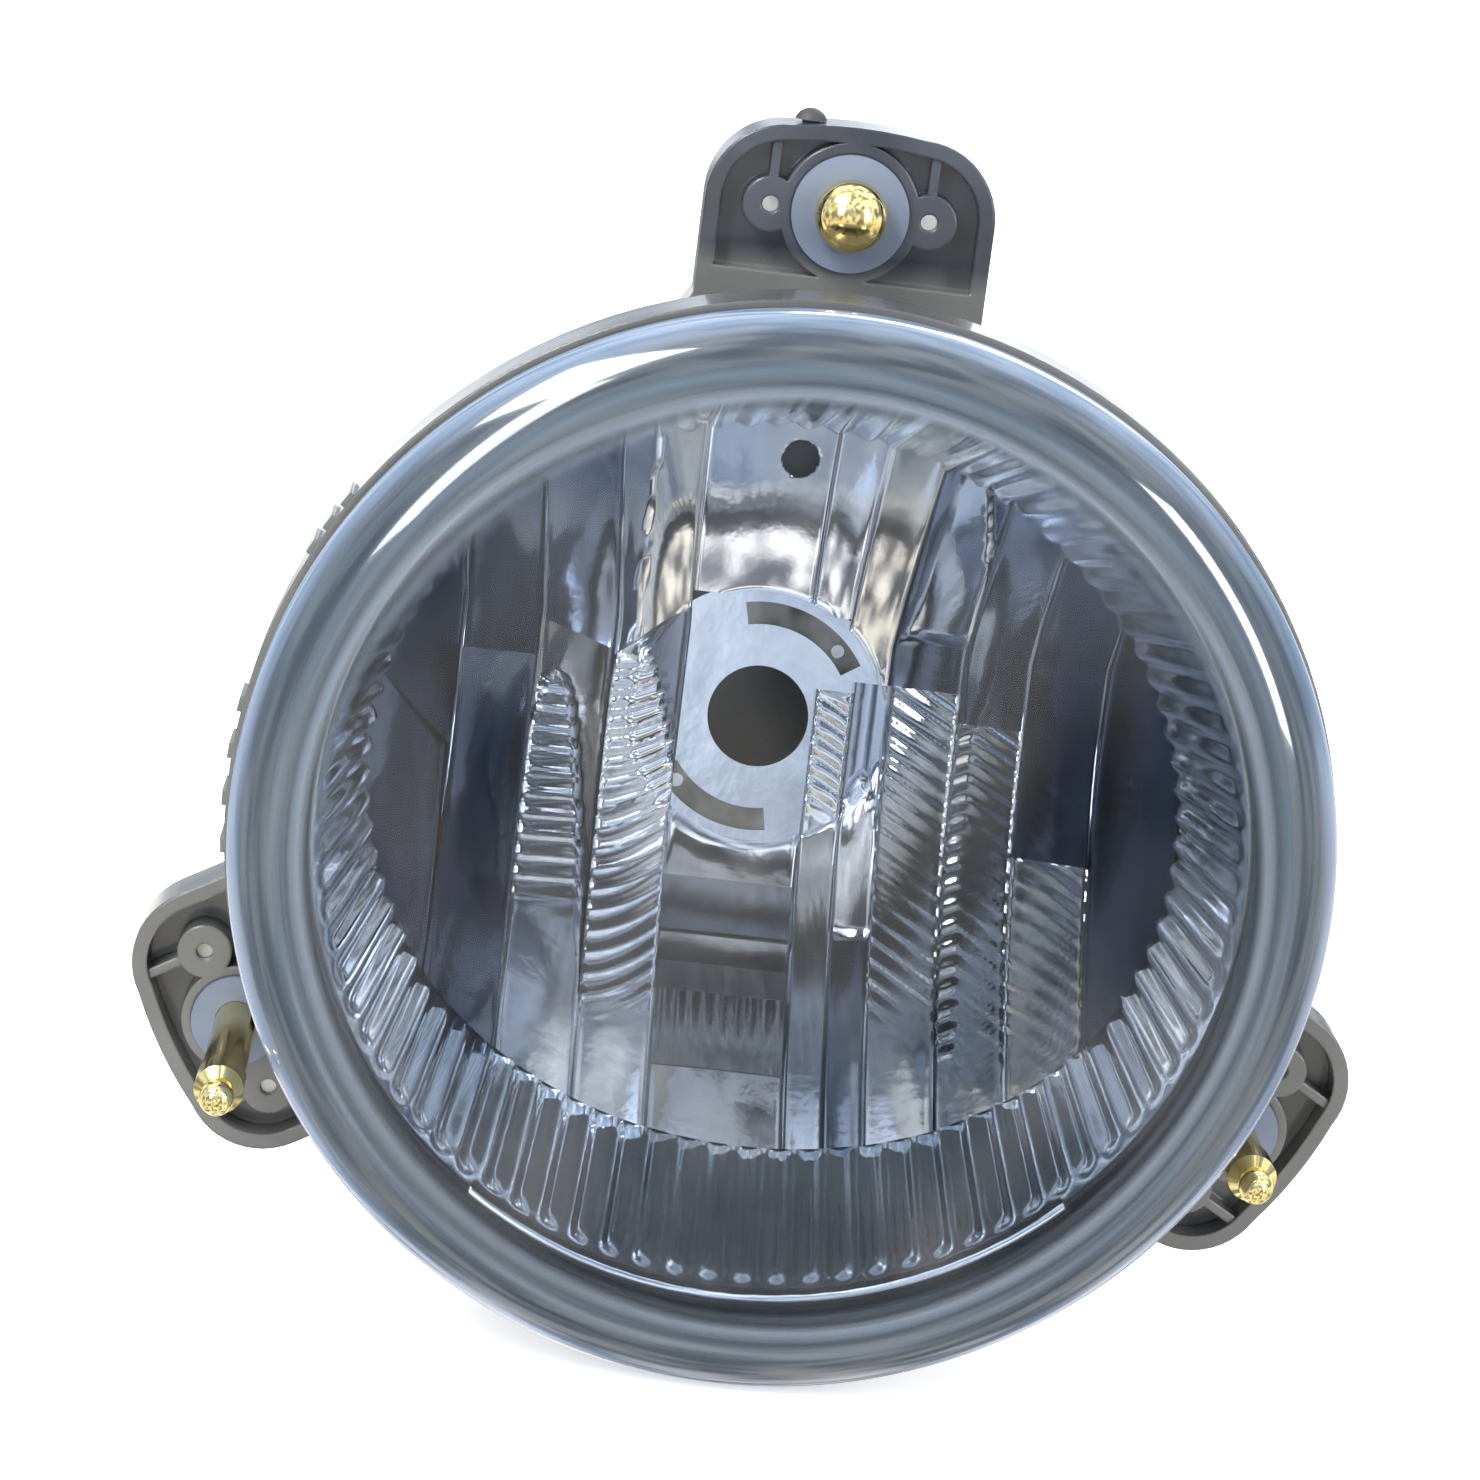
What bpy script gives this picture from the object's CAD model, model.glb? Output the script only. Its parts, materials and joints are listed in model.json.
import json
from math import atan2, cos, hypot, pi, radians, sin, sqrt

import bmesh
import bpy
from mathutils import Matrix, Vector


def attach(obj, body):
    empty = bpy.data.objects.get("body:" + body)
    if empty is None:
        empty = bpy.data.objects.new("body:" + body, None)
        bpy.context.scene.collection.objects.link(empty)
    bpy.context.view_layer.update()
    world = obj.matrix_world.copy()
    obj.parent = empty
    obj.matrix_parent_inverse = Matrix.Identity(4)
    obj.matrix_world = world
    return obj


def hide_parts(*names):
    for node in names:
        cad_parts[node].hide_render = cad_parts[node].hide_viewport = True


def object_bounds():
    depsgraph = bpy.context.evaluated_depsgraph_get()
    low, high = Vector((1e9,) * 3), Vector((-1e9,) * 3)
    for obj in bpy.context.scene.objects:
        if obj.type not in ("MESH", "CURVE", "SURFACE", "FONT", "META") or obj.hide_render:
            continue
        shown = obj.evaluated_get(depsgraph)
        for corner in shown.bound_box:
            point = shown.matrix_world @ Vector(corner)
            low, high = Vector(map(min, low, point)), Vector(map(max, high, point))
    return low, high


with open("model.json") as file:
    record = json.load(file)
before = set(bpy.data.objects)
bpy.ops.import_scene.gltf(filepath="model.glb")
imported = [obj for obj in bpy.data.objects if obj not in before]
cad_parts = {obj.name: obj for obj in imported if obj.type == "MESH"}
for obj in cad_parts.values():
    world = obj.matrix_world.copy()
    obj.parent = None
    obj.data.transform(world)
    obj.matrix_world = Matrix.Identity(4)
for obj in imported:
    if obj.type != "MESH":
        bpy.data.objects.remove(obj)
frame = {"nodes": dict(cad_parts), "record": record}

CAD_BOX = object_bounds()
MM = 0.001
LAMP = "lamp"

# reflector: dish centred on the hub, its beam axis rising towards the front
BEAM_TILT = radians(12)
HUB = Vector((-1.7, 86.0, 3.0))
FOCAL = 26.5
HUB_R = 23.0
HUB_EDGE = 22.2
HUB_HOLE_R = 9.0
HUB_LAND_R = 12.0
HUB_LAND_RISE = 0.35
HUB_OVERLAP = 0.6
HUB_THICK = 2.0
HUB_TURNS = 144
HUB_TINT = (0.80, 0.83, 0.87)
SLOT_IN_R = 16.4
SLOT_OUT_R = 20.4
SLOTS = ((radians(32), radians(70)), (radians(215), radians(65)))
OUTLINE_W = 69.4
OUTLINE_H = 58.0
TILE_BACK = 2.6
RIB_PITCH = 3.5
FAN_START = 15.0
EDGE_ROUND = 0.45
EDGE_WIDTH = 0.75
EDGE_STOPS = (0.0, 0.25, 0.5, EDGE_WIDTH)
LEAF_STEP = 0.7
LEAF_BLEND = 0.5
LEAF_FOOT_BLEND = 0.6
VENT = (1.3, 45.8)
VENT_R = 3.0
VENT_DEPTH = 2.3
VENT_SHADE = 0.03
VENT_BLEND = 0.15
FINE_COLUMN = 0.42
PLAIN_COLUMN = 0.8
FINE_ROW = 0.36
PLAIN_ROW = 1.0
THIN_ROW = 0.05
FAR = 200.0

# bezel
BEZEL_R = 76.5
BEZEL_Y = 5.0
BEZEL_LIP_R = 79.6
FLUTES = 84
FLUTE_DEPTH = 1.0
FLUTE_SWELL = 1.3
FLUTE_RUN_IN = 9.0
PLAIN_LIP = 0.06
STEPS_PER_FLUTE = 8
STEPS_DEEP = 22
BEZEL_WALL = 1.2
BEZEL_TINT = (0.90, 0.95, 1.0)
LIP_REACH = 0.4

# lens
LENS_R = 89.0
RIM_HALF = 3.0
LENS_BULGE = 17.0
DOME_EDGE_Y = -9.5
WINDOW_R = 76.0
FOOT_IN_R = 83.2
FOOT_OUT_R = 87.6
FOOT_END = 12.0
FOOT_DROP = 0.8
LENS_WALL = 3.5
WINDOW_INSET = 1.5
RIM_CROWN = (84.6, -7.6)
RIM_HOLLOW = (81.0, -3.6)
RIM_HOLLOW_Y = 1.0
DOME_STEPS = 24
LENS_TURNS = 256

# finishes
PLASTIC_GRAIN = 900.0
PLASTIC_DENTS = 0.15
METAL_LINES = 1400.0

FLOOR_GAP = 0.0006
FLOOR_REACH = 6.0


# ---------------------------------------------------------------- small helpers

def new_piece(name, verts, faces):
    """A mesh from points in millimetres, as an object at the origin."""
    mesh = bpy.data.meshes.new(name)
    mesh.from_pydata([(x * MM, y * MM, z * MM) for x, y, z in verts], [], faces)
    mesh.update()
    for polygon in mesh.polygons:
        polygon.use_smooth = True
    piece = bpy.data.objects.new(name, mesh)
    bpy.context.scene.collection.objects.link(piece)
    return piece


def recalculate(piece):
    """Merges doubled points and turns every face outwards."""
    work = bmesh.new()
    work.from_mesh(piece.data)
    bmesh.ops.remove_doubles(work, verts=work.verts, dist=1e-6)
    bmesh.ops.recalc_face_normals(work, faces=work.faces)
    work.to_mesh(piece.data)
    work.free()


def sharpen(piece, degrees):
    """Smooth shading with edges kept crisp above the angle."""
    piece.data.set_sharp_from_angle(angle=radians(degrees))


def settle(piece, node):
    """The piece moves with the lamp, takes its slot and stands for its machined node."""
    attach(piece, LAMP)
    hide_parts(node)


def lathe(name, profile, turns):
    """A closed solid of revolution about the lamp's axis from (radius, y) corners."""
    verts = []
    faces = []
    rings = []
    for r, y in profile:
        if r < 1e-6:
            rings.append([len(verts)] * turns)
            verts.append((0.0, y, 0.0))
            continue
        rings.append([len(verts) + k for k in range(turns)])
        verts += [(r * cos(2 * pi * k / turns), y, r * sin(2 * pi * k / turns)) for k in range(turns)]
    count = len(rings)
    for i in range(count):
        here, there = rings[i], rings[(i + 1) % count]
        for k in range(turns):
            quad = [here[k], here[(k + 1) % turns], there[(k + 1) % turns], there[k]]
            quad = list(dict.fromkeys(quad))
            if len(quad) > 2:
                faces.append(quad)
    piece = new_piece(name, verts, faces)
    recalculate(piece)
    return piece


def arc_points(a, middle, b, count):
    """Points on the circle through three (radius, y) points, a first and b last."""
    ax, ay = a
    bx, by = middle
    cx, cy = b
    d = 2 * (ax * (by - cy) + bx * (cy - ay) + cx * (ay - by))
    a2, b2, c2 = ax * ax + ay * ay, bx * bx + by * by, cx * cx + cy * cy
    ox = (a2 * (by - cy) + b2 * (cy - ay) + c2 * (ay - by)) / d
    oy = (a2 * (cx - bx) + b2 * (ax - cx) + c2 * (bx - ax)) / d
    radius = hypot(ax - ox, ay - oy)
    start = atan2(ay - oy, ax - ox)
    half = (atan2(by - oy, bx - ox) - start + pi) % (2 * pi) - pi
    rest = (atan2(cy - oy, cx - ox) - atan2(by - oy, bx - ox) + pi) % (2 * pi) - pi
    sweep = half + rest
    return [(ox + radius * cos(start + sweep * k / count), oy + radius * sin(start + sweep * k / count))
            for k in range(count + 1)]


# ---------------------------------------------------------------- materials

def material(name, **inputs):
    mat = bpy.data.materials.new(name)
    mat.use_nodes = True
    shader = mat.node_tree.nodes["Principled BSDF"]
    for key, value in inputs.items():
        shader.inputs[key.replace("_", " ")].default_value = value
    return mat, mat.node_tree, shader


def add(tree, kind, **settings):
    node = tree.nodes.new(kind)
    for key, value in settings.items():
        setattr(node, key, value)
    return node


def noise(tree, scale, detail=3.0):
    where = add(tree, "ShaderNodeTexCoord")
    tex = add(tree, "ShaderNodeTexNoise")
    tex.inputs["Scale"].default_value = scale
    tex.inputs["Detail"].default_value = detail
    tree.links.new(where.outputs["Object"], tex.inputs["Vector"])
    return tex.outputs["Fac"]


def ramp(tree, source, stops):
    node = add(tree, "ShaderNodeValToRGB")
    elements = node.color_ramp.elements
    while len(elements) < len(stops):
        elements.new(0.5)
    for element, (at, colour) in zip(elements, stops):
        element.position = at
        element.color = (*colour, 1.0)
    tree.links.new(source, node.inputs["Fac"])
    return node.outputs["Color"]


def map_range(tree, source, low, high, to_low, to_high):
    node = add(tree, "ShaderNodeMapRange")
    for key, value in (("From Min", low), ("From Max", high), ("To Min", to_low), ("To Max", to_high)):
        node.inputs[key].default_value = value
    tree.links.new(source, node.inputs["Value"])
    return node.outputs["Result"]


def bump(tree, shader, source, strength, distance):
    node = add(tree, "ShaderNodeBump")
    node.inputs["Strength"].default_value = strength
    node.inputs["Distance"].default_value = distance
    tree.links.new(source, node.inputs["Height"])
    tree.links.new(node.outputs["Normal"], shader.inputs["Normal"])
    return node


def moulded_plastic(name, colour, light, roughness, coat):
    """Moulded plastic: slow colour drift, uneven gloss and a fine skin."""
    mat, tree, shader = material(name, Coat_Weight=coat, Coat_Roughness=0.12, IOR=1.5)
    drift = noise(tree, 28.0, 4.0)
    tree.links.new(ramp(tree, drift, ((0.3, colour), (0.72, light))), shader.inputs["Base Color"])
    gloss = noise(tree, 60.0, 2.0)
    tree.links.new(map_range(tree, gloss, 0.3, 0.7, roughness * 0.8, roughness * 1.25),
                   shader.inputs["Roughness"])
    bump(tree, shader, noise(tree, PLASTIC_GRAIN, 2.0), PLASTIC_DENTS, 0.0002)
    return mat


def lamp_axis(tree):
    """Object coordinates, their x, y and z, the arm out from the lamp's axis and its length."""
    where = add(tree, "ShaderNodeTexCoord")
    split = add(tree, "ShaderNodeSeparateXYZ")
    tree.links.new(where.outputs["Object"], split.inputs["Vector"])
    arm = add(tree, "ShaderNodeCombineXYZ")
    tree.links.new(split.outputs["X"], arm.inputs["X"])
    tree.links.new(split.outputs["Z"], arm.inputs["Z"])
    reach = add(tree, "ShaderNodeVectorMath", operation="LENGTH")
    tree.links.new(arm.outputs["Vector"], reach.inputs[0])
    return where, split, arm.outputs["Vector"], reach.outputs["Value"]


def inside_mask(tree, where, split, arm, radius):
    """1 on the bowl's inner wall, which is left dark: inside it, and facing the axis or the front."""
    near = map_range(tree, radius, 0.0805, 0.0812, 1.0, 0.0)
    deep = map_range(tree, split.outputs["Y"], 0.016, 0.018, 0.0, 1.0)
    unit = add(tree, "ShaderNodeVectorMath", operation="NORMALIZE")
    tree.links.new(arm, unit.inputs[0])
    outward = add(tree, "ShaderNodeVectorMath", operation="ADD")
    outward.inputs[1].default_value = (0.0, 1.0, 0.0)
    tree.links.new(unit.outputs["Vector"], outward.inputs[0])
    facing = add(tree, "ShaderNodeVectorMath", operation="DOT_PRODUCT")
    tree.links.new(outward.outputs["Vector"], facing.inputs[0])
    tree.links.new(where.outputs["Normal"], facing.inputs[1])
    inward = map_range(tree, facing.outputs["Value"], -0.1, -0.3, 0.0, 1.0)
    both = add(tree, "ShaderNodeMath", operation="MULTIPLY")
    tree.links.new(near, both.inputs[0])
    tree.links.new(deep, both.inputs[1])
    all_three = add(tree, "ShaderNodeMath", operation="MULTIPLY")
    tree.links.new(both.outputs["Value"], all_three.inputs[0])
    tree.links.new(inward, all_three.inputs[1])
    return all_three.outputs["Value"]


def housing_plastic(name):
    """Glossy warm grey plastic that turns smoky blue-grey in the tray above the lens."""
    mat, tree, shader = material(name, Coat_Weight=0.6, Coat_Roughness=0.08, IOR=1.5)
    drift = noise(tree, 34.0, 4.0)
    warm = ramp(tree, drift, ((0.3, (0.080, 0.080, 0.076)), (0.7, (0.108, 0.108, 0.103))))
    smoke = ramp(tree, drift, ((0.34, (0.010, 0.012, 0.017)), (0.64, (0.032, 0.038, 0.050))))
    where, split, arm, radius = lamp_axis(tree)
    mix = add(tree, "ShaderNodeMix", data_type="RGBA")
    tree.links.new(map_range(tree, split.outputs["Z"], 0.0885, 0.0925, 0.0, 1.0), mix.inputs["Factor"])
    tree.links.new(warm, mix.inputs["A"])
    tree.links.new(smoke, mix.inputs["B"])
    shade = add(tree, "ShaderNodeMix", data_type="RGBA", blend_type="MIX")
    shade.inputs["B"].default_value = (0.022, 0.021, 0.019, 1.0)
    tree.links.new(inside_mask(tree, where, split, arm, radius), shade.inputs["Factor"])
    tree.links.new(mix.outputs["Result"], shade.inputs["A"])
    tree.links.new(shade.outputs["Result"], shader.inputs["Base Color"])
    tree.links.new(map_range(tree, drift, 0.3, 0.7, 0.16, 0.34), shader.inputs["Roughness"])
    waves = bump(tree, shader, noise(tree, 45.0, 1.5), 0.22, 0.0012)
    edges = add(tree, "ShaderNodeBevel")
    edges.inputs["Radius"].default_value = 0.0007
    tree.links.new(edges.outputs["Normal"], waves.inputs["Normal"])
    tree.links.new(waves.outputs["Normal"], shader.inputs["Coat Normal"])
    return mat


def metal(name, colour, dark, roughness):
    """Turned or drawn metal: fine lines, small tarnish and uneven gloss."""
    mat, tree, shader = material(name, Metallic=1.0)
    tarnish = noise(tree, 130.0, 5.0)
    tree.links.new(ramp(tree, tarnish, ((0.32, dark), (0.6, colour))), shader.inputs["Base Color"])
    tree.links.new(map_range(tree, tarnish, 0.3, 0.7, roughness * 1.5, roughness * 0.8),
                   shader.inputs["Roughness"])
    bump(tree, shader, noise(tree, METAL_LINES, 1.0), 0.04, 0.00004)
    return mat


def mirror_coat(name, metallic=1.0):
    """Bright vapour coat: tint from the piece's own "tint" attribute, faint ripples, clear lacquer."""
    mat, tree, shader = material(name, Metallic=metallic, Coat_Weight=0.25, Coat_Roughness=0.04)
    tint = add(tree, "ShaderNodeAttribute", attribute_name="tint")
    cloud = noise(tree, 55.0, 4.0)
    shade = ramp(tree, cloud, ((0.3, (0.80, 0.81, 0.83)), (0.65, (1.0, 1.0, 1.0))))
    mix = add(tree, "ShaderNodeMix", data_type="RGBA", blend_type="MULTIPLY")
    mix.inputs["Factor"].default_value = 1.0
    tree.links.new(tint.outputs["Color"], mix.inputs["A"])
    tree.links.new(shade, mix.inputs["B"])
    tree.links.new(mix.outputs["Result"], shader.inputs["Base Color"])
    tree.links.new(map_range(tree, cloud, 0.3, 0.7, 0.06, 0.13), shader.inputs["Roughness"])
    bump(tree, shader, noise(tree, 160.0, 3.0), 0.12, 0.0005)
    return mat


def lens_clear(name):
    """Clear in the middle; towards the rim the thick moulded wall turns blue-grey."""
    mat = bpy.data.materials.new(name)
    mat.use_nodes = True
    tree = mat.node_tree
    tree.nodes.clear()
    out = add(tree, "ShaderNodeOutputMaterial")
    radius = lamp_axis(tree)[-1]

    see_through = add(tree, "ShaderNodeBsdfTransparent")
    see_through.inputs["Color"].default_value = (0.982, 0.99, 1.0, 1.0)
    gloss = add(tree, "ShaderNodeBsdfGlossy")
    gloss.inputs["Color"].default_value = (1.0, 1.0, 1.0, 1.0)
    gloss.inputs["Roughness"].default_value = 0.03
    fresnel = add(tree, "ShaderNodeFresnel")
    fresnel.inputs["IOR"].default_value = 1.35
    window = add(tree, "ShaderNodeMixShader")
    tree.links.new(fresnel.outputs["Fac"], window.inputs["Fac"])
    tree.links.new(see_through.outputs["BSDF"], window.inputs[1])
    tree.links.new(gloss.outputs["BSDF"], window.inputs[2])

    wall = add(tree, "ShaderNodeBsdfPrincipled")
    wander = add(tree, "ShaderNodeMath", operation="ADD")
    tree.links.new(radius, wander.inputs[0])
    tree.links.new(map_range(tree, noise(tree, 11.0, 1.0), 0.25, 0.75, -0.0012, 0.0012), wander.inputs[1])
    rings = ramp(tree, map_range(tree, wander.outputs["Value"], 0.074, 0.089, 0.0, 1.0), (
        (0.0, (0.14, 0.17, 0.20)), (0.10, (0.035, 0.042, 0.05)), (0.2, (0.115, 0.14, 0.17)),
        (0.33, (0.035, 0.044, 0.053)), (0.46, (0.062, 0.079, 0.096)), (0.62, (0.026, 0.034, 0.042)),
        (0.82, (0.045, 0.058, 0.073)), (1.0, (0.14, 0.19, 0.27))))
    tree.links.new(rings, wall.inputs["Base Color"])
    wall.inputs["Roughness"].default_value = 0.12
    wall.inputs["IOR"].default_value = 1.49
    wall.inputs["Coat Weight"].default_value = 0.6
    wall.inputs["Coat Roughness"].default_value = 0.03
    cover = map_range(tree, radius, 0.0735, 0.0785, 0.0, 0.9)
    blend = add(tree, "ShaderNodeMixShader")
    tree.links.new(cover, blend.inputs["Fac"])
    tree.links.new(window.outputs["Shader"], blend.inputs[1])
    tree.links.new(wall.outputs["BSDF"], blend.inputs[2])
    tree.links.new(blend.outputs["Shader"], out.inputs["Surface"])
    return mat


# ---------------------------------------------------------------- reflector

BEAM = Matrix(((1, 0, 0), (0, sin(BEAM_TILT), -cos(BEAM_TILT)), (0, cos(BEAM_TILT), sin(BEAM_TILT))))
HUB_DEPTH = HUB_R ** 2 / (4 * FOCAL)


def from_beam(u, w, s):
    """Hub frame (u right, w up the dish, s along the beam) to the lamp's frame, in millimetres."""
    return tuple(HUB + BEAM @ Vector((u, w, s)))


def dish(u, w):
    """Height of the full bowl above the hub plate, along the beam."""
    return (u * u + w * w) / (4 * FOCAL) - HUB_DEPTH


def outline(u, side):
    """Where a line of constant u meets the reflector's outline, above (side 1) or below (side -1)."""
    w = side * OUTLINE_H
    for _ in range(40):
        across = min(1.0, abs(fan(u, w) + HUB.x) / OUTLINE_W)
        height = side * OUTLINE_H * sqrt(1 - across * across)
        w += 0.5 * ((height - HUB.z - dish(fan(u, w), w) * sin(BEAM_TILT)) / cos(BEAM_TILT) - w)
    return w


def outline_point(angle):
    """A point of the reflector's edge at an angle round the lamp's axis."""
    x = OUTLINE_W * cos(angle)
    z = OUTLINE_H * sin(angle)
    w = z
    for _ in range(30):
        w = (z - HUB.z - dish(x - HUB.x, w) * sin(BEAM_TILT)) / cos(BEAM_TILT)
    return from_beam(x - HUB.x, w, dish(x - HUB.x, w))


def smoothstep(low, high, value):
    t = min(1.0, max(0.0, (value - low) / (high - low)))
    return t * t * (3 - 2 * t)


def base(u, w):
    """The plain dish, flattened where it crosses the hub plate."""
    return max(dish(u, w), 0.0)


def fan(u, w):
    """Columns spread a little above the hub."""
    side = smoothstep(8.0, 20.0, abs(u))
    return u + (0.13 if u > 0 else -0.10) * side * max(0.0, w - FAN_START)


class Leaf:
    """A pointed area inside a facet: apex, and how fast its two sides open downwards."""

    def __init__(self, u, w, left, right, foot=-FAR):
        self.u, self.w, self.left, self.right, self.foot = u, w, left, right, foot

    def inside(self, u, w):
        if w >= self.w:
            return 0.0
        open_to = sqrt(self.w - w)
        from_left = smoothstep(0.0, LEAF_BLEND, u - (self.u - self.left * open_to))
        from_right = smoothstep(0.0, LEAF_BLEND, (self.u + self.right * open_to) - u)
        return from_left * from_right * smoothstep(self.foot, self.foot + LEAF_FOOT_BLEND, w)


class Ribs:
    """Rounded ribs across a facet: height, slope and bow of each rib, and the rows they keep to."""

    def __init__(self, height, slant=0.0, bow=0.0, top=FAR, foot=-FAR, peak=None, pitch=RIB_PITCH,
                 upright=False):
        self.height, self.slant, self.bow = height, slant, bow
        self.top, self.foot, self.peak = top, foot, peak
        self.pitch, self.upright = pitch, upright

    def rise(self, across, w):
        line = w + self.slant * across + self.bow * across * across
        if self.peak is not None:
            line = w + self.slant * abs(across - self.peak)
        if self.upright:
            line = across
        keep = smoothstep(self.top, self.top - 3.0, w) * smoothstep(self.foot - 6.0, self.foot + 4.0, w)
        return self.height * keep * abs(sin(pi * line / self.pitch))


class Facet:
    """One mirrored tile of the dish between two columns and two rows.

    lift raises it, cup bows it and lean tips it, each across and along. A leaf keeps the tint and the ribs
    inside its point and leaves the rest of the tile in the plain tint.
    """

    def __init__(self, left, right, low, high, tint, lift, cup, lean, ribs=None, leaf=None, plain=None,
                 vent=False):
        self.left, self.right = left, right
        self.low = low if callable(low) else (lambda _: low)
        self.high = high if callable(high) else (lambda _: high)
        self.tint, self.plain = tint, plain or tint
        self.lift, self.cup, self.lean = lift, cup, lean
        self.ribs, self.leaf, self.vent = ribs, leaf, vent
        self.middle = (left + right) / 2
        self.centre = (self.low(self.middle) + self.high(self.middle)) / 2

    def depth(self, u, w):
        across, along = u - self.middle, w - self.centre
        s = base(u, w) + self.lift
        s += self.cup[0] * across ** 2 + self.cup[1] * along ** 2
        s += self.lean[0] * across + self.lean[1] * along
        edge = min(u - self.left, self.right - u)
        s -= EDGE_ROUND * max(0.0, 1 - edge / EDGE_WIDTH) ** 2
        mask = self.leaf.inside(u, w) if self.leaf else 1.0
        if self.leaf:
            s += LEAF_STEP * mask
        if self.ribs:
            s += mask * self.ribs.rise(across, w)
        return s - VENT_DEPTH * self.in_vent(u, w)

    def in_vent(self, u, w):
        if not self.vent:
            return 0.0
        return smoothstep(VENT_R + VENT_BLEND, VENT_R - VENT_BLEND, hypot(u - VENT[0], w - VENT[1]))

    def colour(self, u, w):
        mask = self.leaf.inside(u, w) if self.leaf else 1.0
        shade = 1.0 - (1.0 - VENT_SHADE) * self.in_vent(u, w)
        return tuple((p + (t - p) * mask) * shade for t, p in zip(self.tint, self.plain))


def facet_list():
    """Every facet, column by column from the left, in millimetres from the hub."""
    night = (0.13, 0.15, 0.19)
    slate = (0.17, 0.20, 0.26)
    steel = (0.30, 0.34, 0.40)
    grey = (0.58, 0.61, 0.64)
    pale = (0.92, 0.95, 1.0)
    sand = (0.80, 0.77, 0.71)
    umber = (0.27, 0.265, 0.26)
    clay = (0.56, 0.55, 0.53)
    bottom = lambda u: outline(u, -1)
    top = lambda u: outline(u, 1)
    round_hub = lambda u: sqrt(max(0.0, HUB_EDGE ** 2 - u * u))
    under_hub = lambda u: -round_hub(u)
    above_hub = lambda lowest: lambda u: max(lowest, round_hub(u))
    first_top = lambda u: 0.9 - 0.9 * (u + 66.3)
    strip_top = lambda u: 13.2 - 0.32 * (u + 40.3)
    hub_side = lambda u: 8.0 + 0.75 * (u + 26.8)
    return [
        Facet(-70.5, -53.8, bottom, first_top, slate, 0.4, (0.012, 0.002), (0.05, 0.02)),
        Facet(-53.8, -40.3, bottom, 6.7, slate, 1.5, (0.010, 0.003), (-0.04, 0.03)),
        Facet(-40.3, -26.8, bottom, strip_top, pale, 0.5, (0.006, 0.001), (0.03, 0.0),
              Ribs(0.6, foot=-34.0), Leaf(-36.4, 4.2, 1.35, 1.35), umber),
        Facet(-26.8, -13.8, bottom, hub_side, pale, 1.0, (0.004, 0.001), (0.0, 0.0),
              Ribs(0.55, -0.45, -0.03, top=9.0, foot=-50.0), Leaf(-25.3, 13.6, 0.6, 2.3), night),

        Facet(-70.5, -53.8, first_top, top, night, 1.3, (0.004, 0.004), (0.03, -0.06)),
        Facet(-53.8, -40.3, 6.7, top, night, 0.5, (0.006, 0.004), (-0.04, -0.05)),
        Facet(-40.3, -26.8, strip_top, top, slate, 1.5, (0.010, 0.003), (0.06, -0.03)),
        Facet(-26.8, -13.8, hub_side, top, sand, 0.4, (0.020, 0.003), (-0.05, 0.0),
              None, Leaf(-17.5, 60.0, 0.9, 3.0), steel),

        Facet(-13.8, 7.5, above_hub(21.0), top, pale, 1.2, (0.001, 0.0005), (0.02, -0.015), vent=True),
        Facet(-13.8, 9.7, -29.5, under_hub, grey, 0.2, (0.0, 0.0), (0.0, 0.12)),
        Facet(-13.8, 9.7, -38.5, -29.5, steel, 1.0, (0.0, 0.010), (0.0, -0.12)),
        Facet(-13.8, 9.7, -44.0, -38.5, grey, 0.4, (0.0, 0.012), (0.0, 0.10)),
        Facet(-13.8, 9.7, -48.5, -44.0, umber, 0.9, (0.0, 0.0), (0.0, -0.1)),
        Facet(-13.8, 9.7, -60.5, -48.5, clay, 1.5, (0.002, 0.004), (0.0, 0.02),
              Ribs(0.35, foot=-54.0, pitch=2.4, upright=True)),
        Facet(-13.8, 9.7, bottom, -60.5, clay, 1.7, (0.002, 0.004), (0.0, -0.10)),

        Facet(7.5, 14.2, above_hub(19.0), top, pale, 0.4, (0.03, 0.002), (0.10, -0.04)),
        Facet(14.2, 22.3, above_hub(8.0), top, sand, 1.3, (0.012, 0.002), (-0.05, -0.02)),
        Facet(22.3, 34.6, 8.0, top, grey, 0.4, (0.014, 0.003), (0.08, -0.03),
              None, Leaf(26.2, 49.5, 0.5, 1.9, 17.0), slate),
        Facet(34.6, 45.7, 3.0, top, slate, 1.6, (0.010, 0.003), (-0.10, -0.04)),
        Facet(45.7, 57.7, -19.0, top, night, 0.4, (0.010, 0.003), (0.02, -0.03)),
        Facet(57.7, 71.0, bottom, top, night, 1.4, (0.008, 0.001), (-0.08, 0.0)),

        Facet(9.7, 16.4, bottom, 6.0, grey, 0.9, (0.01, 0.001), (0.05, 0.0),
              Ribs(0.45, 0.5, 0.03, 6.5, -14.0)),
        Facet(16.4, 23.0, bottom, 8.0, pale, 0.5, (0.045, 0.001), (-0.05, 0.0),
              None, Leaf(19.6, -9.0, 1.2, 1.2, -36.0), steel),
        Facet(23.0, 34.6, bottom, 8.0, grey, 1.3, (0.008, 0.001), (0.04, 0.0),
              Ribs(0.55, 0.55, foot=-48.0)),
        Facet(34.6, 45.7, bottom, 3.0, grey, 0.6, (0.008, 0.001), (-0.04, 0.0),
              Ribs(0.5, 0.55, peak=-2.5, foot=-52.0)),
        Facet(45.7, 57.7, bottom, -19.0, sand, 1.2, (0.008, 0.002), (0.03, 0.0),
              Ribs(0.45, 0.5, 0.02, foot=-50.0)),
    ]


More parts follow.
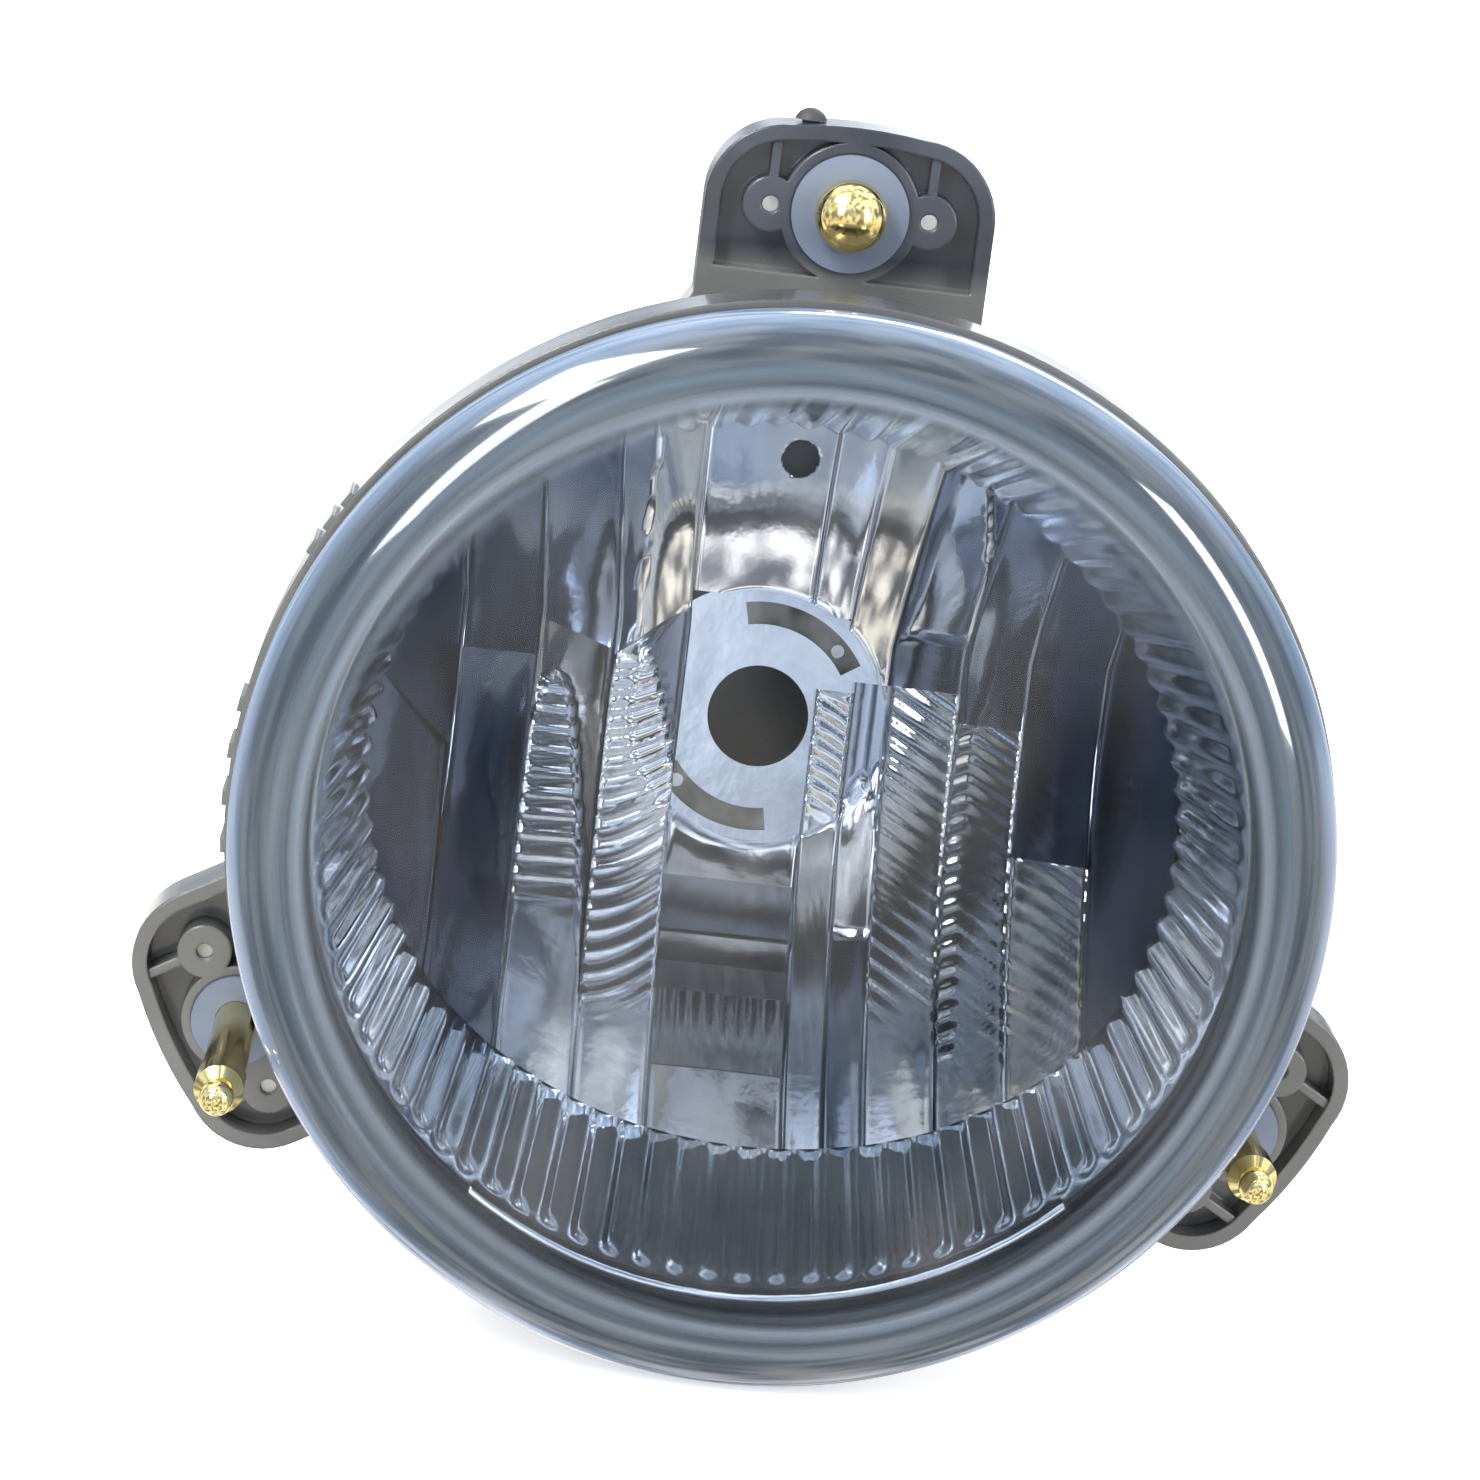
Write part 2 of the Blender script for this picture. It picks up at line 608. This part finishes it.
def stops_across(left, right, pitch):
    """Column positions across a tile, closer together at its rounded edges."""
    inner = max(4, int((right - left - 2 * EDGE_WIDTH) / pitch))
    span = right - left - 2 * EDGE_WIDTH
    between = [left + EDGE_WIDTH + span * k / inner for k in range(1, inner)]
    return [left + c for c in EDGE_STOPS] + between + [right - c for c in EDGE_STOPS[::-1]]


def facet_grid(facet, verts, faces, tints):
    """A closed tile: mirrored front, straight sides and a back behind the plain dish."""
    fine = facet.vent or (facet.ribs and facet.ribs.upright)
    columns = stops_across(facet.left, facet.right, FINE_COLUMN if fine else PLAIN_COLUMN)
    across = len(columns) - 1
    tall = facet.high(facet.middle) - facet.low(facet.middle)
    up = max(4, int(tall / (FINE_ROW if facet.ribs or facet.vent else PLAIN_ROW)))
    start = len(verts)
    for layer in (0, 1):
        for u in columns:
            high = facet.high(u)
            low = min(facet.low(u), high - THIN_ROW)
            for j in range(up + 1):
                w = low + (high - low) * j / up
                s = facet.depth(u, w) if layer == 0 else base(u, w) - TILE_BACK
                verts.append(from_beam(fan(u, w), w, s))
                tints.append(facet.colour(u, w))
    row = up + 1
    back = start + (across + 1) * row
    for i in range(across):
        for j in range(up):
            a = start + i * row + j
            b = back + i * row + j
            faces.append((a, a + row, a + row + 1, a + 1))
            faces.append((b, b + 1, b + row + 1, b + row))
    for i in range(across):
        for j, flip in ((0, False), (up, True)):
            a = start + i * row + j
            b = back + i * row + j
            quad = (a, b, b + row, a + row)
            faces.append(quad[::-1] if flip else quad)
    for j in range(up):
        for i, flip in ((0, True), (across, False)):
            a = start + i * row + j
            b = back + i * row + j
            quad = (a, b, b + 1, a + 1)
            faces.append(quad[::-1] if flip else quad)


def hub_plate(verts, faces, tints):
    """The flat hub: a plate with the bulb hole and two curved slots, built as ring sectors."""
    rings = (HUB_HOLE_R, HUB_LAND_R, SLOT_IN_R, SLOT_OUT_R, HUB_R + HUB_OVERLAP)
    land_ring, slot_ring = 1, 2

    def in_slot(angle):
        return any((angle - start) % (2 * pi) < sweep for start, sweep in SLOTS)

    for index, (inner, outer) in enumerate(zip(rings, rings[1:])):
        front = HUB_LAND_RISE if index == land_ring else 0.0
        for k in range(HUB_TURNS):
            a0, a1 = 2 * pi * k / HUB_TURNS, 2 * pi * (k + 1) / HUB_TURNS
            if index == slot_ring and in_slot((a0 + a1) / 2):
                continue
            first = len(verts)
            for s in (front, -HUB_THICK):
                for r, a in ((inner, a0), (outer, a0), (outer, a1), (inner, a1)):
                    verts.append(from_beam(r * cos(a), r * sin(a), s))
                    tints.append(HUB_TINT)
            faces.append((first, first + 1, first + 2, first + 3))
            faces.append((first + 7, first + 6, first + 5, first + 4))
            for p, q in ((0, 1), (1, 2), (2, 3), (3, 0)):
                faces.append((first + p, first + p + 4, first + q + 4, first + q))


def make_reflector():
    verts, faces, tints = [], [], []
    for facet in facet_list():
        facet_grid(facet, verts, faces, tints)
    hub_plate(verts, faces, tints)
    piece = new_piece("reflector_mirror", verts, faces)
    colours = piece.data.color_attributes.new("tint", "FLOAT_COLOR", "POINT")
    for index, tint in enumerate(tints):
        colours.data[index].color = (*tint, 1.0)
    sharpen(piece, 38)
    piece.data.materials.append(mirror_coat("vapour coat on the reflector"))
    settle(piece, "reflector")


# ---------------------------------------------------------------- bezel

def group_socket(group, name, kind, side="INPUT"):
    return group.interface.new_socket(name=name, in_out=side, socket_type=kind)


def add_attribute(group, name):
    node = add(group, "GeometryNodeInputNamedAttribute", data_type="FLOAT")
    node.inputs["Name"].default_value = name
    return node.outputs["Attribute"]


def scallop_tree(mat):
    """Geometry Nodes: pushes a wall in along its normal in even scallops round the lamp."""
    group = bpy.data.node_groups.new("bezel flutes", "GeometryNodeTree")
    group_socket(group, "Geometry", "NodeSocketGeometry")
    group_socket(group, "Flute count", "NodeSocketFloat")
    group_socket(group, "Flute depth", "NodeSocketFloat")
    group_socket(group, "Plain lip", "NodeSocketFloat")
    group_socket(group, "Geometry", "NodeSocketGeometry", "OUTPUT")
    start = add(group, "NodeGroupInput")
    end = add(group, "NodeGroupOutput")

    def calc(operation, a, b=None):
        node = add(group, "ShaderNodeMath", operation=operation)
        for index, value in enumerate((a, b)):
            if value is None:
                continue
            if isinstance(value, (int, float)):
                node.inputs[index].default_value = value
            else:
                group.links.new(value, node.inputs[index])
        return node.outputs[0]

    turn = add_attribute(group, "turn")
    run = add_attribute(group, "run")
    half_waves = calc("MULTIPLY", start.outputs["Flute count"], 0.5)
    wave = calc("ABSOLUTE", calc("SINE", calc("MULTIPLY", turn, half_waves)))
    swell = calc("POWER", wave, FLUTE_SWELL)
    past_lip = calc("MULTIPLY", calc("SUBTRACT", run, start.outputs["Plain lip"]), FLUTE_RUN_IN)
    lead = calc("MINIMUM", calc("MAXIMUM", past_lip, 0.0), 1.0)
    push = calc("MULTIPLY", calc("MULTIPLY", swell, calc("SQRT", lead)), start.outputs["Flute depth"])
    normal = add(group, "GeometryNodeInputNormal")
    offset = add(group, "ShaderNodeVectorMath", operation="SCALE")
    group.links.new(normal.outputs["Normal"], offset.inputs[0])
    group.links.new(push, offset.inputs["Scale"])
    move = add(group, "GeometryNodeSetPosition")
    group.links.new(start.outputs["Geometry"], move.inputs["Geometry"])
    group.links.new(offset.outputs["Vector"], move.inputs["Offset"])
    realize = add(group, "GeometryNodeRealizeInstances")
    group.links.new(move.outputs["Geometry"], realize.inputs["Geometry"])
    paint = add(group, "GeometryNodeSetMaterial")
    paint.inputs["Material"].default_value = mat
    group.links.new(realize.outputs["Geometry"], paint.inputs["Geometry"])
    group.links.new(paint.outputs["Geometry"], end.inputs["Geometry"])
    return group


def grown(piece, group, name, **values):
    """Runs a node tree on a piece and keeps the result as a plain mesh."""
    modifier = piece.modifiers.new("grow", "NODES")
    modifier.node_group = group
    for item in group.interface.items_tree:
        key = item.name.replace(" ", "_")
        if item.in_out == "INPUT" and key in values:
            modifier[item.identifier] = values[key]
    bpy.context.view_layer.update()
    shaped = piece.evaluated_get(bpy.context.evaluated_depsgraph_get())
    mesh = bpy.data.meshes.new_from_object(shaped)
    mesh.name = name
    piece.modifiers.clear()
    piece.data = mesh


def make_bezel():
    """The wall from the round front edge back to the reflector's edge, fluted, with its flat lip."""
    around = FLUTES * STEPS_PER_FLUTE
    verts, faces, turn, run = [], [], [], []
    for k in range(around):
        angle = 2 * pi * k / around
        back = Vector(outline_point(angle))
        front = Vector((BEZEL_R * cos(angle), BEZEL_Y, BEZEL_R * sin(angle)))
        for j in range(STEPS_DEEP + 1):
            t = j / STEPS_DEEP
            verts.append(tuple(front.lerp(back, t)))
            turn.append(angle)
            run.append(t)
    row = STEPS_DEEP + 1
    for k in range(around):
        here, there = k * row, ((k + 1) % around) * row
        for j in range(STEPS_DEEP):
            faces.append((here + j, here + j + 1, there + j + 1, there + j))
    piece = new_piece("bezel_fluted", verts, faces)
    for name, values in (("turn", turn), ("run", run)):
        attribute = piece.data.attributes.new(name, "FLOAT", "POINT")
        attribute.data.foreach_set("value", values)
    mat = mirror_coat("vapour coat on the bezel", metallic=0.93)
    grown(piece, scallop_tree(mat), "bezel_fluted", Flute_count=float(FLUTES),
          Flute_depth=FLUTE_DEPTH * MM, Plain_lip=PLAIN_LIP)
    lip(piece)
    solid = piece.modifiers.new("wall", "SOLIDIFY")
    solid.thickness = BEZEL_WALL * MM
    solid.offset = -1.0
    colours = piece.data.color_attributes.new("tint", "FLOAT_COLOR", "POINT")
    for item in colours.data:
        item.color = (*BEZEL_TINT, 1.0)
    sharpen(piece, 60)
    settle(piece, "bezel_ring")


def lip(piece):
    """Adds the flat front lip outside the wall's front edge."""
    work = bmesh.new()
    work.from_mesh(piece.data)
    edges = [edge for edge in work.edges if edge.is_boundary
             and all(abs(vert.co.y - BEZEL_Y * MM) < LIP_REACH * MM for vert in edge.verts)]
    out = bmesh.ops.extrude_edge_only(work, edges=edges)
    for vert in (v for v in out["geom"] if isinstance(v, bmesh.types.BMVert)):
        scale = BEZEL_LIP_R * MM / hypot(vert.co.x, vert.co.z)
        vert.co.x *= scale
        vert.co.z *= scale
    work.to_mesh(piece.data)
    work.free()


# ---------------------------------------------------------------- lens

def dome(radius, edge_y, top_y):
    """A shallow cap's profile from its middle to its edge, as (radius, y) points."""
    rise = edge_y - top_y
    sphere = (radius ** 2 + rise ** 2) / (2 * rise)
    across = [radius * k / DOME_STEPS for k in range(DOME_STEPS + 1)]
    return [(r, top_y + sphere - sqrt(sphere ** 2 - r ** 2)) for r in across]


def make_lens():
    """The cover: outer dome and rim, down to the foot, and back along the inner dome."""
    inner_r = WINDOW_R - WINDOW_INSET
    inner_y = DOME_EDGE_Y + LENS_WALL
    profile = dome(WINDOW_R, DOME_EDGE_Y, -LENS_BULGE)
    profile += arc_points((WINDOW_R, DOME_EDGE_Y), RIM_CROWN, (LENS_R, -RIM_HALF), 14)[1:]
    profile += [(LENS_R, RIM_HALF), (FOOT_OUT_R, RIM_HALF + FOOT_DROP), (FOOT_OUT_R, FOOT_END),
                (FOOT_IN_R, FOOT_END)]
    profile += arc_points((FOOT_IN_R, RIM_HOLLOW_Y), RIM_HOLLOW, (inner_r, inner_y), 10)
    profile += dome(inner_r, inner_y, -LENS_BULGE + LENS_WALL)[::-1][1:]
    piece = lathe("lens_moulded", profile, LENS_TURNS)
    sharpen(piece, 40)
    piece.data.materials.append(lens_clear("moulded clear lens"))
    settle(piece, "lens")


# ---------------------------------------------------------------- finishes for the machined nodes

def dress_nodes():
    """Gives every machined node the finish of its slot. The lens is a piece of its own and has no entry."""
    finishes = {
        "housing_plastic": housing_plastic("warm grey housing"),
        "sealant": moulded_plastic("dark sealant", (0.03, 0.026, 0.022), (0.06, 0.05, 0.04), 0.4, 0.1),
        "mirror_coat": metal("bright coat", (0.85, 0.87, 0.9), (0.7, 0.72, 0.76), 0.12),
        "screw_steel": metal("zinc screws", (0.68, 0.68, 0.66), (0.42, 0.42, 0.41), 0.28),
        "plated_steel": metal("plated steel", (0.27, 0.26, 0.235), (0.13, 0.125, 0.11), 0.36),
        "spring_wire": metal("spring wire", (0.55, 0.56, 0.58), (0.3, 0.3, 0.31), 0.25),
        "black_rubber": moulded_plastic("black rubber", (0.012, 0.012, 0.013), (0.03, 0.03, 0.032), 0.6, 0.0),
        "black_plastic": moulded_plastic("black cap plastic", (0.02, 0.02, 0.022), (0.045, 0.045, 0.05),
                                         0.45, 0.1),
        "brass": metal("turned brass", (0.84, 0.70, 0.32), (0.74, 0.58, 0.22), 0.12),
        "nylon": moulded_plastic("blue-grey nylon", (0.085, 0.105, 0.145), (0.14, 0.17, 0.225),
                                 0.42, 0.1),
        "wheel_nylon": moulded_plastic("natural nylon", (0.62, 0.61, 0.56), (0.74, 0.73, 0.68), 0.45, 0.1),
    }
    slots = {entry["node"]: entry["material_slot"] for entry in frame["record"]["subparts"]}
    for name, node in frame["nodes"].items():
        if slots[name] not in finishes:
            continue
        node.data.materials.clear()
        node.data.materials.append(finishes[slots[name]])


# ---------------------------------------------------------------- studio

def make_camera():
    """Long lens, a little above and to the left of the lamp, leaning with it."""
    elevation, azimuth, roll = radians(13.5), radians(-3.337), radians(7.321)
    distance, aside, below = 760.0, 6.90, -19.31
    back = Vector((sin(azimuth) * cos(elevation), -cos(azimuth) * cos(elevation), sin(elevation)))
    level = Vector((cos(azimuth), sin(azimuth), 0.0))
    upright = back.cross(level)
    right = level * cos(roll) + upright * sin(roll)
    up = upright * cos(roll) - level * sin(roll)
    place = (back * distance - right * aside - up * below) * MM
    data = bpy.data.cameras.new("camera")
    data.lens = 115.0
    data.sensor_width = 36.0
    camera = bpy.data.objects.new("camera", data)
    turn = Matrix((right, up, back)).transposed().to_4x4()
    camera.matrix_world = Matrix.Translation(place) @ turn
    bpy.context.scene.collection.objects.link(camera)
    bpy.context.scene.camera = camera


def area_light(name, place, aim, size, power, colour=(1.0, 1.0, 1.0)):
    """A rectangular soft light at a place, turned towards its aim, in metres and watts."""
    data = bpy.data.lights.new(name, "AREA")
    data.shape = "RECTANGLE"
    data.size, data.size_y = size
    data.energy = power
    data.color = colour
    light = bpy.data.objects.new(name, data)
    light.location = place
    light.rotation_euler = (Vector(aim) - Vector(place)).to_track_quat("-Z", "Y").to_euler()
    bpy.context.scene.collection.objects.link(light)


def make_floor():
    """The pale floor just under the lamp. It doesn't show in the bright coats."""
    z = CAD_BOX[0][2] - FLOOR_GAP
    mesh = bpy.data.meshes.new("floor")
    corners = [(x * FLOOR_REACH, y * FLOOR_REACH, z) for x, y in ((-1, -1), (1, -1), (1, 1), (-1, 1))]
    mesh.from_pydata(corners, [], [(0, 1, 2, 3)])
    floor = bpy.data.objects.new("floor", mesh)
    bpy.context.scene.collection.objects.link(floor)
    mat, tree, shader = material("pale floor", Roughness=0.9, Emission_Strength=0.5)
    shader.inputs["Emission Color"].default_value = (1.0, 1.0, 1.0, 1.0)
    tree.links.new(ramp(tree, noise(tree, 3.0), ((0.3, (0.86, 0.86, 0.86)), (0.7, (0.9, 0.9, 0.9)))),
                   shader.inputs["Base Color"])
    floor.data.materials.append(mat)
    floor.visible_glossy = False


def make_room():
    """Soft surroundings, brighter above, with slow dark and bright patches for the coats to mirror."""
    world = bpy.data.worlds.new("studio")
    world.use_nodes = True
    bpy.context.scene.world = world
    tree = world.node_tree
    background = tree.nodes["Background"]
    where = add(tree, "ShaderNodeTexCoord")
    split = add(tree, "ShaderNodeSeparateXYZ")
    tree.links.new(where.outputs["Generated"], split.inputs["Vector"])
    height = map_range(tree, split.outputs["Z"], -1.0, 1.0, 0.0, 1.0)
    colour = ramp(tree, height, (
        (0.0, (0.74, 0.71, 0.67)), (0.28, (0.62, 0.58, 0.54)), (0.42, (0.52, 0.50, 0.46)),
        (0.54, (0.66, 0.71, 0.78)), (0.68, (0.40, 0.46, 0.55)), (0.86, (0.95, 0.97, 1.0)),
        (1.0, (1.0, 1.0, 1.0))))
    stretch = add(tree, "ShaderNodeMapping")
    stretch.inputs["Scale"].default_value = (1.5, 1.5, 0.8)
    tree.links.new(where.outputs["Generated"], stretch.inputs["Vector"])
    room = add(tree, "ShaderNodeTexNoise")
    room.inputs["Scale"].default_value = 3.6
    room.inputs["Detail"].default_value = 1.0
    tree.links.new(stretch.outputs["Vector"], room.inputs["Vector"])
    panes = ramp(tree, room.outputs["Fac"], (
        (0.36, (0.12, 0.13, 0.15)), (0.45, (0.40, 0.41, 0.43)), (0.53, (0.75, 0.75, 0.75)),
        (0.62, (1.0, 1.0, 1.0))))
    mix = add(tree, "ShaderNodeMix", data_type="RGBA", blend_type="MULTIPLY")
    mix.inputs["Factor"].default_value = 1.0
    tree.links.new(colour, mix.inputs["A"])
    tree.links.new(panes, mix.inputs["B"])
    tree.links.new(mix.outputs["Result"], background.inputs["Color"])
    background.inputs["Strength"].default_value = 2.6


def make_lights():
    area_light("overhead", (-0.75, -0.45, 1.15), (0, 0.1, 0), (0.75, 0.45), 26.0)
    area_light("left_front", (-0.9, -1.1, 0.75), (0, 0, 0), (0.35, 0.9), 16.0, (0.93, 0.96, 1.0))
    area_light("right_front", (1.1, -0.9, 0.45), (0, 0, 0), (0.25, 0.8), 15.0, (0.95, 0.97, 1.0))
    area_light("back_fill", (0.4, 1.3, 0.9), (0, 0.05, 0), (0.9, 0.6), 8.0)
    bpy.context.scene.view_settings.view_transform = "Standard"


make_camera()
make_floor()
make_room()
make_lights()
make_reflector()
make_bezel()
make_lens()
dress_nodes()
